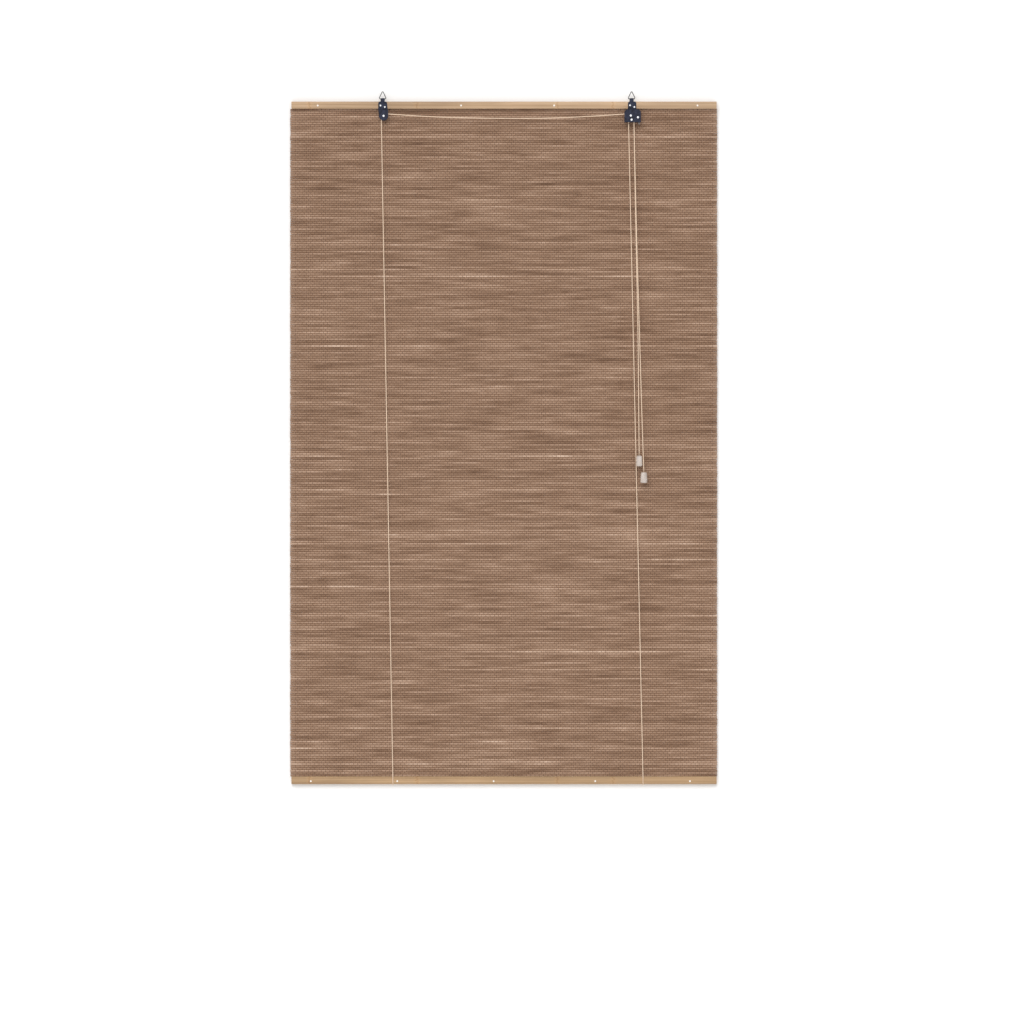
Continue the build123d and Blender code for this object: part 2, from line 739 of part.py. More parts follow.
def tassel_knot(place, sizes):
    """The cord's end inside the tassel, with the knot that carries it."""
    centre_x, depth, top = place
    bottom = top - sizes[-1]
    knot_height = tassel_pocket_height - tassel_knot_inset
    with BuildPart() as end:
        with BuildSketch(Plane.XY.offset(bottom + tassel_pocket_height - knot_height)):
            with Locations((centre_x, -depth)):
                Circle(tassel_knot_radius)
        extrude(amount=knot_height - fit)
        fillet(end.edges().filter_by(GeomType.CIRCLE), tassel_knot_rounding * tassel_knot_radius)
        with BuildSketch(Plane.XY.offset(bottom + tassel_pocket_height - knot_height / 2)):
            with Locations((centre_x, -depth)):
                Circle(cord_radius)
        extrude(amount=top - bottom - tassel_pocket_height + knot_height / 2)
    return end


upper_tassel = tassel(upper_tassel_place, upper_tassel_sizes)
lower_tassel = tassel(lower_tassel_place, lower_tassel_sizes)
upper_tassel_knot = tassel_knot(upper_tassel_place, upper_tassel_sizes)
lower_tassel_knot = tassel_knot(lower_tassel_place, lower_tassel_sizes)

# ---- write one file for each piece ----
pieces = {
    "head_rail_front": head_rail_front,
    "head_rail_back": head_rail_back,
    "head_rail_nails": head_rail_nails,
    "bottom_rail_front": bottom_rail_front,
    "bottom_rail_back": bottom_rail_back,
    "bottom_rail_nails": bottom_rail_nails,
    "bamboo_slats": bamboo_slats,
    "left_bracket": left_bracket,
    "left_bracket_screws": left_bracket_screws,
    "left_pulley": left_pulley,
    "left_pulley_rivet": left_pulley_rivet,
    "left_hanging_ring": left_hanging_ring,
    "lock_back_plate": lock_back_plate,
    "lock_front_plate": lock_front_plate,
    "lock_screws": lock_screws,
    "lock_pulley": lock_pulley,
    "lock_pulley_rivet": lock_pulley_rivet,
    "lock_roller": lock_roller,
    "lock_roller_rivet": lock_roller_rivet,
    "lock_cam": lock_cam,
    "lock_cam_rivet": lock_cam_rivet,
    "right_hanging_ring": right_hanging_ring,
    "left_cord_eye": left_cord_eye,
    "right_cord_eye": right_cord_eye,
    "left_anchor_knot": left_anchor_knot,
    "right_anchor_knot": right_anchor_knot,
    "left_lift_cord": left_lift_cord,
    "right_lift_cord": right_lift_cord,
    "cross_cord": cross_cord,
    "lock_cord": lock_cord,
    "left_pull_cord": left_pull_cord,
    "right_pull_cord": right_pull_cord,
    "upper_tassel": upper_tassel,
    "lower_tassel": lower_tassel,
    "upper_tassel_knot": upper_tassel_knot,
    "lower_tassel_knot": lower_tassel_knot,
}
for name, piece in pieces.items():
    piece.part.label = name
    export_step(piece.part, f"parts/{name}.step")
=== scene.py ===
"""Looks of a bamboo roll-up blind: woven mat, battens, enamelled hardware, cords and tassels."""

import json
import math

import bpy
import numpy as np
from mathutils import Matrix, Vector


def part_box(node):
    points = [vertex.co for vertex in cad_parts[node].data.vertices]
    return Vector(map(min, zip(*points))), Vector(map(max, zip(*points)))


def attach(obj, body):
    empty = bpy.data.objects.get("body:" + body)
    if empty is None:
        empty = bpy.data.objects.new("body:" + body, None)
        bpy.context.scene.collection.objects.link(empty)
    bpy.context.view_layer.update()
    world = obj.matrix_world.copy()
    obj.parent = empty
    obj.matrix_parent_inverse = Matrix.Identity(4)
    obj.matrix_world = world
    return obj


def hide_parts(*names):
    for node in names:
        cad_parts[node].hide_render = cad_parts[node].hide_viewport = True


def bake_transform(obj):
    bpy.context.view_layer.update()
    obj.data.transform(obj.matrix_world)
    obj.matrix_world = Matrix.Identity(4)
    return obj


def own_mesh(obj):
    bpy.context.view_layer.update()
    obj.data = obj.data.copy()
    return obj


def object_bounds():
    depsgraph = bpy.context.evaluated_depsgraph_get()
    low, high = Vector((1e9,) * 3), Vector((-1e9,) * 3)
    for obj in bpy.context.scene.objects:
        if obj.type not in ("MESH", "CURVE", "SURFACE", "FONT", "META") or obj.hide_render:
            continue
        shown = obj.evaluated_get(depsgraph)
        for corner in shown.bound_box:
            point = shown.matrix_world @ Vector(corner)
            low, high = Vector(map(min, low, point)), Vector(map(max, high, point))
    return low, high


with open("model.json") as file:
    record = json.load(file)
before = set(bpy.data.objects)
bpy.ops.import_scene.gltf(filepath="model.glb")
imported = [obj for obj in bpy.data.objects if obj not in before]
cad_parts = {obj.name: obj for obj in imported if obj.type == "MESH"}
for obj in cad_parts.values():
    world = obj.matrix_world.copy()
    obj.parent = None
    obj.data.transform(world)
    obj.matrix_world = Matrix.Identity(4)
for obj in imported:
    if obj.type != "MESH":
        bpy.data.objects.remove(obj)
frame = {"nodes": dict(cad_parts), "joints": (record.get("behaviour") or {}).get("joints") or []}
cad_low, cad_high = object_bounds()
random = np.random.default_rng(20)

# ---- mat, in metres ----
SLAT_WIDTH = 0.0048
SLAT_WIDTH_SHARE = 0.985  # mean width of a slat as a share of SLAT_WIDTH
SLAT_WIDTH_WANDER = 0.012  # how much that share varies
SLAT_ROW_WANDER = 0.00006  # how far a slat strays from its row
SLAT_PITCH = 0.00529
SLAT_STEPS = 26
LEFT_OVERHANG = (0.0022, 0.0034)  # least and most that a slat sticks out past the mat's CAD edge
RIGHT_OVERHANG = (0.0006, 0.0018)
THREAD_PITCH = 0.00502
THREAD_INSET = 0.0098  # outermost warp thread to the mat's edge
THREAD_HALF_WIDTH = 0.00065
THREAD_HALF_DEPTH = 0.00030
THREAD_WANDER = 0.00018  # slow sideways straying of a thread
THREAD_JITTER = 0.00005  # its straying from one slat to the next
THREAD_CORNERS = (90.0, 210.0, 330.0)  # degrees round its triangular section
THREAD_PIECES = 4
STRIP_START = 0.1  # a slat's UV rises from here, by one step for each side of its section
STRIP_STEP = 0.4 / 3
FACE_MIDDLE = STRIP_START + 3.5 * STRIP_STEP

# ---- cords, in metres ----
CORD_RADIUS = 0.001
CORD_SIDES = 12
PULLEY_REACH = 0.0052  # cord centre to pulley axis
ROLLER_REACH = 0.0055
LANE = 0.00115  # half the distance between the two cords inside the lock
LOOP_GAP = 0.0016  # cord centre to the bottom rail it passes under
LOOP_RISE = 0.012  # how far each side of that loop runs straight up
LEFT_LOOP_X = -0.2612
RIGHT_LOOP_X = 0.3271
SAG = (  # the left cord's way across, as (x, z)
    (-0.236, -0.0236),
    (-0.182, -0.0272),
    (-0.127, -0.0294),
    (-0.071, -0.0307),
    (-0.016, -0.0315),
    (0.041, -0.0319),
    (0.097, -0.0312),
    (0.152, -0.0293),
    (0.206, -0.0266),
    (0.256, -0.0234),
)
RIGHT_HANG = ((0.3103, -0.0203, -0.318), (0.3152, -0.0215, -0.53), (0.3164, -0.0223, -0.69))
LEFT_HANG = ((0.3116, -0.0227, -0.318), (0.3184, -0.0238, -0.53), (0.3252, -0.0252, -0.77))

# ---- stage, light and camera ----
WALL_GAP = 0.0005
WALL_HALF_WIDTH = 8.0
WALL_TOP = 6.0
FLOOR_HALF = 25.0
LIGHT_SPREAD = 50.0
KEY_DIRECTION = (0.16, 0.79, -0.59)
KEY_STRENGTH = 2.12
BACK_DIRECTION = (-0.35, -0.80, -0.48)
BACK_STRENGTH = 1.65
ROOM_STRENGTH = 0.43
LENS = 300.0
SENSOR = 36.0
VIEW_WIDTH = 2.409
VIEW_RIGHT = 0.0188  # view centre, right of the blind's middle
VIEW_DROP = 0.9569  # view centre, below the head rail's middle
VIEW_DEPTH = 60.0

# ---- places, all from the frame ----
slats_low, slats_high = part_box("bamboo_slats")
head_low, head_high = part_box("head_rail_front")
foot_low, foot_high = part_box("bottom_rail_front")
foot_back_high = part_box("bottom_rail_back")[1]
joints = {joint["name"]: joint for joint in frame["joints"]}
LIFT = joints["lift"]["range_m"][1]
SPLIT_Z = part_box("left_lift_cord")[1][2]  # where the moving lengths of cord begin


def middle(node):
    """Centre of a CAD node's box."""
    low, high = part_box(node)
    return (Vector(low) + Vector(high)) / 2


# ---------------------------------------------------------------- materials
class Shader:
    """A node material with one Principled shader and short ways to add nodes to it."""

    def __init__(self, name, roughness, metallic=0.0, specular=0.5):
        self.material = bpy.data.materials.new(name)
        self.material.use_nodes = True
        self.tree = self.material.node_tree
        self.surface = self.tree.nodes["Principled BSDF"]
        self.surface.inputs["Roughness"].default_value = roughness
        self.surface.inputs["Metallic"].default_value = metallic
        self.surface.inputs["Specular IOR Level"].default_value = specular

    def feed(self, socket, value):
        """Link a socket to another one, or set it to a constant."""
        if isinstance(value, bpy.types.NodeSocket):
            self.tree.links.new(value, socket)
        else:
            socket.default_value = value

    def node(self, kind, settings=None, **inputs):
        """A new node with its settings and its named inputs."""
        made = self.tree.nodes.new(kind)
        for key, value in (settings or {}).items():
            setattr(made, key, value)
        for key, value in inputs.items():
            self.feed(made.inputs[key], value)
        return made

    def link(self, source, target):
        """Feed one input of the Principled shader."""
        self.tree.links.new(source, self.surface.inputs[target])

    def mapped(self, scale=(1.0, 1.0, 1.0)):
        """Object coordinates stretched by a scale."""
        where = self.node("ShaderNodeTexCoord")
        return self.node("ShaderNodeMapping", Vector=where.outputs["Object"], Scale=scale).outputs[0]

    def strip(self, scale):
        """The piece's own UV map stretched by a scale."""
        where = self.node("ShaderNodeUVMap", {"uv_map": "strip"})
        return self.node("ShaderNodeMapping", Vector=where.outputs[0], Scale=scale).outputs[0]

    def noise(self, vector, scale, detail=3.0, roughness=0.55):
        """Cloudy values around a half."""
        made = self.node("ShaderNodeTexNoise", Vector=vector, Scale=scale, Detail=detail, Roughness=roughness)
        return made.outputs["Fac"]

    def ramp(self, factor, *stops):
        """Colour from a factor, through stops of (place, (r, g, b))."""
        made = self.node("ShaderNodeValToRGB", Fac=factor)
        elements = made.color_ramp.elements
        while len(elements) < len(stops):
            elements.new(0.5)
        for element, (place, colour) in zip(elements, stops):
            element.position = place
            element.color = (*colour, 1.0)
        return made.outputs["Color"]

    def mix(self, kind, factor, first, second):
        """Two colours blended. A mix node has its colour inputs at places 6 and 7."""
        made = self.node("ShaderNodeMix", {"data_type": "RGBA", "blend_type": kind})
        made.inputs[0].default_value = factor
        for socket, value in ((made.inputs[6], first), (made.inputs[7], second)):
            self.feed(socket, value if isinstance(value, bpy.types.NodeSocket) else (*value, 1.0))
        return made.outputs[2]

    def math(self, operation, first, second=0.0):
        """One sum on two values."""
        made = self.node("ShaderNodeMath", {"operation": operation})
        self.feed(made.inputs[0], first)
        self.feed(made.inputs[1], second)
        return made.outputs[0]

    def waves(self, vector):
        """Slanting bands, as of twisted or braided yarn."""
        made = self.node("ShaderNodeTexWave", {"bands_direction": "DIAGONAL"}, Vector=vector, Scale=1.0)
        return made.outputs["Fac"]

    def bump(self, height, strength, distance):
        """Relief from a height."""
        made = self.node("ShaderNodeBump", Height=height, Strength=strength, Distance=distance)
        self.link(made.outputs[0], "Normal")


def slat_material():
    """Stained bamboo strips with long streaks and fine grain; the eased edges darken towards the gaps, partly
    stain and partly painted shade.
    """
    shader = Shader("stained_bamboo", 0.6, specular=0.3)
    where = shader.node("ShaderNodeUVMap", {"uv_map": "strip"})
    parts = shader.node("ShaderNodeSeparateXYZ", Vector=where.outputs[0])
    row = shader.math("FLOOR", parts.outputs[1])
    own = shader.node("ShaderNodeTexWhiteNoise", {"noise_dimensions": "1D"}, W=row).outputs[0]
    streak_at = shader.node("ShaderNodeCombineXYZ", X=shader.math("MULTIPLY", parts.outputs[0], 3.0), Y=row)
    streak = shader.noise(streak_at.outputs[0], 1.9, 5.0, 0.62)
    grain = shader.noise(shader.strip((26.0, 9.0, 1.0)), 1.0, 3.0, 0.6)
    pale = shader.node("ShaderNodeMapRange", {"interpolation_type": "SMOOTHSTEP"}, Value=own)
    pale.inputs["From Min"].default_value = 0.84
    pale.inputs["To Max"].default_value = 0.15
    tone = shader.math("ADD", shader.math("MULTIPLY", streak, 1.34), pale.outputs[0])
    tone = shader.math("ADD", tone, shader.math("MULTIPLY", grain, 0.16))
    colour = shader.ramp(
        shader.math("SUBTRACT", tone, 0.27),
        (0.06, (0.105, 0.049, 0.023)),
        (0.32, (0.226, 0.131, 0.079)),
        (0.50, (0.318, 0.199, 0.131)),
        (0.70, (0.440, 0.297, 0.212)),
        (0.94, (0.700, 0.530, 0.415)),
    )
    # painted shade and stain: the eased edges and the back darken away from the slat's flat face
    across = shader.math("FRACT", parts.outputs[1])
    off_face = shader.math("ABSOLUTE", shader.math("SUBTRACT", across, FACE_MIDDLE))
    painted_shade_and_stain = shader.ramp(off_face, (0.060, (1.0, 1.0, 1.0)), (0.16, (0.56, 0.43, 0.31)))
    shader.link(shader.mix("MULTIPLY", 1.0, colour, painted_shade_and_stain), "Base Color")
    shader.bump(grain, 0.35, 0.0004)
    return shader.material


def thread_material():
    """Twisted warp thread, a little darker than the slats."""
    shader = Shader("warp_thread", 0.85, specular=0.2)
    fibre = shader.noise(shader.strip((0.35, 22.0, 1.0)), 1.0)
    colour = shader.ramp(fibre, (0.25, (0.070, 0.036, 0.026)), (0.75, (0.165, 0.098, 0.072)))
    shader.link(colour, "Base Color")
    shader.bump(shader.waves(shader.strip((0.5, 1400.0, 1.0))), 0.5, 0.0002)
    return shader.material


def batten_material(name, tint):
    """Planed bamboo: fine grain along the batten, with a node across it here and there."""
    shader = Shader(name, 0.48)
    grain = shader.noise(shader.mapped((2.2, 160.0, 260.0)), 1.0, 4.0, 0.6)
    cloud = shader.noise(shader.mapped((5.0, 30.0, 30.0)), 1.0)
    joint = shader.node("ShaderNodeTexVoronoi", {"voronoi_dimensions": "1D"}, Scale=1.0)
    where = shader.node("ShaderNodeTexCoord").outputs["Object"]
    parts = shader.node("ShaderNodeSeparateXYZ", Vector=where)
    wobble = shader.math("MULTIPLY", shader.noise(shader.mapped((40.0, 400.0, 400.0)), 1.0), 0.02)
    along = shader.math("MULTIPLY", shader.math("ADD", parts.outputs[0], wobble), 4.3)
    shader.tree.links.new(along, joint.inputs["W"])
    near = shader.math("MULTIPLY", joint.outputs["Distance"], 28.0)
    body = shader.ramp(
        grain,
        (0.25, (0.330, 0.205, 0.110)),
        (0.50, (0.470, 0.315, 0.185)),
        (0.75, (0.600, 0.430, 0.275)),
    )
    shade = shader.ramp(cloud, (0.30, (0.80, 0.76, 0.72)), (0.70, (1.08, 1.04, 1.00)))
    body = shader.mix("MULTIPLY", 1.0, body, shade)
    ring = shader.ramp(near, (0.00, (0.74, 0.62, 0.50)), (0.35, (1.12, 1.08, 1.00)), (1.0, (1.0, 1.0, 1.0)))
    body = shader.mix("MULTIPLY", 0.8, body, ring)
    # a last tint over the whole finish; on the foot battens it darkens the bamboo as painted shade
    shader.link(shader.mix("MULTIPLY", 1.0, body, tint), "Base Color")
    shader.bump(grain, 0.25, 0.0005)
    return shader.material


def metal_material(name, dark, light, roughness, metallic=1.0):
    """Metal with a finely uneven polish."""
    shader = Shader(name, roughness, metallic=metallic)
    speck = shader.noise(shader.mapped(), 900.0)
    shader.link(shader.ramp(speck, (0.3, dark), (0.7, light)), "Base Color")
    shader.bump(speck, 0.08, 0.0002)
    return shader.material


def enamel_material():
    """Blue-black enamel on stamped steel, with a slightly orange-peel skin and uneven depth."""
    shader = Shader("blue_black_enamel", 0.45, specular=0.22)
    speck = shader.noise(shader.mapped(), 700.0)
    patch = shader.noise(shader.mapped(), 160.0, 4.0)
    colour = shader.ramp(patch, (0.35, (0.009, 0.010, 0.020)), (0.62, (0.026, 0.030, 0.056)))
    shader.link(colour, "Base Color")
    shader.bump(speck, 0.15, 0.0003)
    return shader.material


def cord_material():
    """Braided cotton: two families of yarn that cross on the slant."""
    shader = Shader("braided_cotton", 0.9, specular=0.15)
    rising = shader.waves(shader.strip((4.0, 900.0, 1.0)))
    falling = shader.waves(shader.strip((-4.0, 900.0, 1.0)))
    braid = shader.math("MULTIPLY", rising, falling)
    fuzz = shader.noise(shader.strip((1.0, 60.0, 1.0)), 1.0)
    # darker where the yarns part: painted shade in the braid's gaps
    yarn = shader.ramp(braid, (0.0, (0.744, 0.555, 0.408)), (0.45, (0.930, 0.755, 0.595)))
    tint = shader.ramp(fuzz, (0.3, (0.93, 0.91, 0.88)), (0.7, (1.0, 1.0, 1.0)))
    shader.link(shader.mix("MULTIPLY", 1.0, yarn, tint), "Base Color")
    shader.bump(braid, 0.6, 0.0002)
    return shader.material


def plastic_material(name, low, high, roughness):
    """Moulded plastic with faint flow marks."""
    shader = Shader(name, roughness)
    flow = shader.noise(shader.mapped((1.0, 1.0, 0.35)), 90.0, 2.0)
    shader.link(shader.ramp(flow, (0.3, low), (0.7, high)), "Base Color")
    shader.surface.inputs["Subsurface Weight"].default_value = 0.08
    shader.surface.inputs["Subsurface Radius"].default_value = (0.004, 0.003, 0.002)
    shader.bump(flow, 0.08, 0.0003)
    return shader.material


SLAT = slat_material()
THREAD = thread_material()
HEAD_BATTEN = batten_material("planed_bamboo_head", (0.97, 0.99, 1.02))
# the foot battens take the head's finish, darkened by their tint as painted shade
SHADED_FOOT_BATTEN = batten_material("planed_bamboo_foot_shaded", (0.88, 0.86, 0.79))
ENAMEL = enamel_material()
CORD = cord_material()
BRIGHT = metal_material("nickel_rivet", (0.86, 0.87, 0.90), (0.97, 0.98, 1.00), 0.4, 0.5)
NAIL = metal_material("nail_head", (0.86, 0.80, 0.72), (0.98, 0.95, 0.90), 0.4, 0.5)
WIRE = metal_material("plated_wire", (0.055, 0.055, 0.055), (0.110, 0.110, 0.108), 0.42)
CAM = metal_material("steel_cam", (0.100, 0.098, 0.100), (0.320, 0.310, 0.310), 0.4)
TASSEL = plastic_material("ivory_tassel", (0.465, 0.400, 0.358), (0.630, 0.556, 0.508), 0.42)
NYLON = plastic_material("nylon_wheel", (0.560, 0.540, 0.490), (0.680, 0.660, 0.610), 0.45)

CAD_LOOKS = {
    "head_rail_front": HEAD_BATTEN,
    "head_rail_back": HEAD_BATTEN,
    "bottom_rail_front": SHADED_FOOT_BATTEN,
    "bottom_rail_back": SHADED_FOOT_BATTEN,
    "head_rail_nails": NAIL,
    "bottom_rail_nails": NAIL,
    "left_bracket": ENAMEL,
    "lock_back_plate": ENAMEL,
    "lock_front_plate": ENAMEL,
    "left_bracket_screws": BRIGHT,
    "lock_screws": BRIGHT,
    "left_pulley_rivet": BRIGHT,
    "lock_pulley_rivet": BRIGHT,
    "lock_roller_rivet": BRIGHT,
    "lock_cam_rivet": BRIGHT,
    "left_hanging_ring": WIRE,
    "right_hanging_ring": WIRE,
    "left_cord_eye": WIRE,
    "right_cord_eye": WIRE,
    "left_pulley": NYLON,
    "lock_pulley": NYLON,
    "lock_roller": NYLON,
    "lock_cam": CAM,
    "left_anchor_knot": CORD,
    "right_anchor_knot": CORD,
    "upper_tassel": TASSEL,
    "lower_tassel": TASSEL,
    "upper_tassel_knot": CORD,
    "lower_tassel_knot": CORD,
}


def dress_cad():
    """Every CAD node that keeps its shape gets its finish."""
    for node, material in CAD_LOOKS.items():
        for place in frame["nodes"][node].material_slots:
            place.link = "OBJECT"
            place.material = material


# ---------------------------------------------------------------- meshes
def mesh_piece(name, points, faces, uvs, material, body, smooth=False):
    """A mesh from numpy arrays, with one UV pair for each face corner, riding on a body."""
    mesh = bpy.data.meshes.new(name)
    mesh.from_pydata(points.reshape(-1, 3).tolist(), [], [list(face) for face in faces])
    layer = mesh.uv_layers.new(name="strip")
    layer.data.foreach_set("uv", np.asarray(uvs, float).ravel())
    mesh.materials.append(material)
    if smooth:
        mesh.polygons.foreach_set("use_smooth", np.ones(len(mesh.polygons), bool))
    piece = bpy.data.objects.new(name, mesh)
    bpy.context.scene.collection.objects.link(piece)
    if body:
        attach(piece, body)
    return piece


def tube_faces(runs, steps, sides):
    """Quads of several open tubes whose points are stored run by run, ring by ring."""
    run = np.arange(runs)[:, None, None]
    step = np.arange(steps - 1)[None, :, None]
    side = np.arange(sides)[None, None, :]
    start = (run * steps + step) * sides
    near, far = start + side, start + (side + 1) % sides
    quads = np.stack([near, far, far + sides, near + sides], axis=-1)
    return quads.reshape(-1, 4)


def end_caps(runs, steps, sides):
    """The two end faces of each tube."""
    caps = []
    for run in range(runs):
        first = run * steps * sides
        last = first + (steps - 1) * sides
        caps.append([first + side for side in reversed(range(sides))])
        caps.append([last + side for side in range(sides)])
    return caps


# ---------------------------------------------------------------- the woven mat
def slat_rows():
    """Middle height of every slat, from the top down."""
    span = slats_high[2] - slats_low[2] - SLAT_WIDTH
    count = round(span / SLAT_PITCH) + 1
    return slats_high[2] - SLAT_WIDTH / 2 - np.arange(count) * span / (count - 1)


def wander(count, steps, size):
    """Slow random wavering, one row of values for each of count strips."""
    coarse = random.normal(0.0, size, (count, 7))
    place = np.linspace(0, 6, steps)
    left = np.clip(place.astype(int), 0, 5)
    share = place - left
    share = share * share * (3 - 2 * share)
    return coarse[:, left] * (1 - share) + coarse[:, left + 1] * share


def build_slats(rows):
    """Flat bamboo strips with a crowned face and eased edges, none quite straight or equal."""
    front, back = slats_low[1], slats_high[1]
    depth = back - front
    profile = np.array(
        [
            (back, -0.49),
            (back, 0.49),
            (front + 0.35 * depth, 0.50),
            (front, 0.27),
            (front, -0.27),
            (front + 0.35 * depth, -0.50),
        ]
    )
    steps = SLAT_STEPS + 1
    count = len(rows)
    sides = len(profile)
    points = np.zeros((count, steps, sides, 3))
    points[..., 0] = np.linspace(slats_low[0], slats_high[0], steps)[None, :, None]
    shown = ((rows < head_low[2]) & (rows > foot_high[2]))[:, None]
    points[:, 0, :, 0] -= random.uniform(*LEFT_OVERHANG, (count, 1)) * shown
    points[:, -1, :, 0] += random.uniform(*RIGHT_OVERHANG, (count, 1)) * shown
    width = SLAT_WIDTH * (SLAT_WIDTH_SHARE + wander(count, steps, SLAT_WIDTH_WANDER))
    stray = wander(count, steps, SLAT_ROW_WANDER)
    points[..., 1] = profile[None, None, :, 0]
    points[..., 2] = rows[:, None, None] + stray[..., None] + profile[None, None, :, 1] * width[..., None]
    faces = [list(face) for face in tube_faces(count, steps, sides)]
    caps = end_caps(count, steps, sides)
    flat = points.reshape(-1, 3)
    around = np.tile(STRIP_START + np.arange(sides) * STRIP_STEP, count * steps)
    row_of = np.repeat(np.arange(count), steps * sides)
    corner = np.array([index for face in faces + caps for index in face])
    uvs = np.stack([flat[corner, 0] - slats_low[0], row_of[corner] + around[corner]], axis=-1)
    piece = mesh_piece("woven_slats", points, faces + caps, uvs, SLAT, "head_rail")
    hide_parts("bamboo_slats")
    return piece


def build_threads(rows):
    """Warp threads in plain weave: each passes before one slat and behind the next."""
    shown = rows[(rows < head_low[2]) & (rows > foot_high[2])]
    front, back = slats_low[1] - THREAD_HALF_DEPTH, slats_high[1] + THREAD_HALF_DEPTH
    centre = (front + back) / 2
    half_pitch = (shown[0] - shown[1]) / 2
    heights = np.empty(2 * len(shown) + 1)
    heights[1::2] = shown
    heights[0::2] = np.append(shown + half_pitch, shown[-1] - half_pitch)
    usable = slats_high[0] - slats_low[0] - 2 * THREAD_INSET
    count = round(usable / THREAD_PITCH) + 1
    places = slats_low[0] + THREAD_INSET + np.arange(count) * usable / (count - 1)
    angles = np.radians(THREAD_CORNERS)
    sides = len(angles)
    steps = len(heights)
    threads = []
    for part, group in enumerate(np.array_split(np.arange(count), THREAD_PIECES)):
        size = len(group)
        depth = np.full((size, steps), centre)
        over = (np.arange(len(shown))[None, :] + group[:, None]) % 2 == 0
        depth[:, 1::2] = np.where(over, front, back)
        path_x = places[group][:, None] + wander(size, steps, THREAD_WANDER)
        path_x = path_x + random.normal(0.0, THREAD_JITTER, (size, steps))
        outward = np.sign(centre - depth)
        points = np.zeros((size, steps, sides, 3))
        points[..., 0] = path_x[..., None] + THREAD_HALF_WIDTH * np.cos(angles)
        points[..., 2] = heights[None, :, None]
        side = np.where(outward == 0, 1.0, outward)[..., None]
        points[..., 1] = depth[..., None] - side * THREAD_HALF_DEPTH * np.sin(angles)
        faces = tube_faces(size, steps, sides)
        around = np.tile(np.arange(sides) / sides, size * steps)
        flat = points.reshape(-1, 3)
        thread_of = np.repeat(group, steps * sides)
        corner = faces.ravel()
        uvs = np.stack([thread_of[corner] * 7.0 + around[corner], flat[corner, 2] - foot_high[2]], axis=-1)
        name = f"warp_threads_{part + 1}"
        threads.append(mesh_piece(name, points, faces, uvs, THREAD, "head_rail"))
    return threads


def build_mat():
    """The woven mat: slats and warp threads, each piece with a mesh of its own."""
    rows = slat_rows()
    for piece in [build_slats(rows), *build_threads(rows)]:
        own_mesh(piece)


# ---------------------------------------------------------------- cords
def smooth_line(points):
    """Points along the NURBS line whose control points these are."""
    curve = bpy.data.curves.new("route", "CURVE")
    curve.dimensions = "3D"
    curve.resolution_u = 10
    spline = curve.splines.new("NURBS")
    spline.points.add(len(points) - 1)
    for place, point in zip(spline.points, points):
        place.co = (*point, 1.0)
    spline.order_u = 3
    spline.use_endpoint_u = True
    holder = bpy.data.objects.new("route", curve)
    mesh = bpy.data.meshes.new_from_object(holder)
    line = np.array([vertex.co for vertex in mesh.vertices])
    bpy.data.objects.remove(holder)
    bpy.data.curves.remove(curve)
    bpy.data.meshes.remove(mesh)
    return line


def tube(name, line, body):
    """A round cord along a line, with UVs that run once round it and along it in metres."""
    steps = len(line)
    ahead = np.gradient(line, axis=0)
    ahead /= np.linalg.norm(ahead, axis=1)[:, None]
    side = np.cross(ahead[0], (0.3, 1.0, 0.1))
    rings = np.zeros((1, steps, CORD_SIDES, 3))
    angles = np.arange(CORD_SIDES) / CORD_SIDES * 2 * math.pi
    for step in range(steps):
        side = side - ahead[step] * np.dot(side, ahead[step])
        side /= np.linalg.norm(side)
        up = np.cross(ahead[step], side)
        ring = np.cos(angles)[:, None] * side + np.sin(angles)[:, None] * up
        rings[0, step] = line[step] + CORD_RADIUS * ring
    lengths = np.append(0.0, np.cumsum(np.linalg.norm(np.diff(line, axis=0), axis=1)))
    faces = [list(face) for face in tube_faces(1, steps, CORD_SIDES)]
    uvs = []
    for face in faces:
        for corner, index in enumerate(face):
            turn = index % CORD_SIDES or (CORD_SIDES if corner in (1, 2) else 0)
            uvs.append((turn / CORD_SIDES, lengths[index // CORD_SIDES]))
    caps = end_caps(1, steps, CORD_SIDES)
    for cap in caps:
        uvs += [(index % CORD_SIDES / CORD_SIDES, lengths[index // CORD_SIDES]) for index in cap]
    return mesh_piece(name, rings, faces + caps, uvs, CORD, body, smooth=True)


def add_cord(name, node, points, body="head_rail"):
    """A cord along its route, in place of its CAD tube."""
    line = smooth_line(points)
    piece = tube(name, line, body)
    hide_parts(node)
    return piece


def build_loop(name, node, eye_x, loop_x, strand):
    """A lift cord: down behind the mat, under the bottom rail and up the front to its pulley."""
    eye_y = middle("left_anchor_knot").y
    behind = foot_back_high[1] + LOOP_GAP
    before = foot_low[1] - LOOP_GAP
    below = foot_low[2] - LOOP_GAP
    points = [
        (eye_x, eye_y, SPLIT_Z),
        (loop_x, behind, below + LOOP_RISE),
        (loop_x, behind, below),
        (loop_x, before, below),
        (loop_x, before, below + LOOP_RISE),
        (*strand, SPLIT_Z),
    ]
    piece = add_cord(name, node, points)
    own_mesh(piece)


def build_pull_cord(node, tassel, start, bends):
    """A pull cord that hangs from the lock; its low end stays in its tassel's knot."""
    spot = middle(tassel)
    points = [start, *bends, (spot.x, spot.y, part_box(tassel)[1][2])]
    piece = add_cord(f"{node}_braid", node, points, None)
    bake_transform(piece)


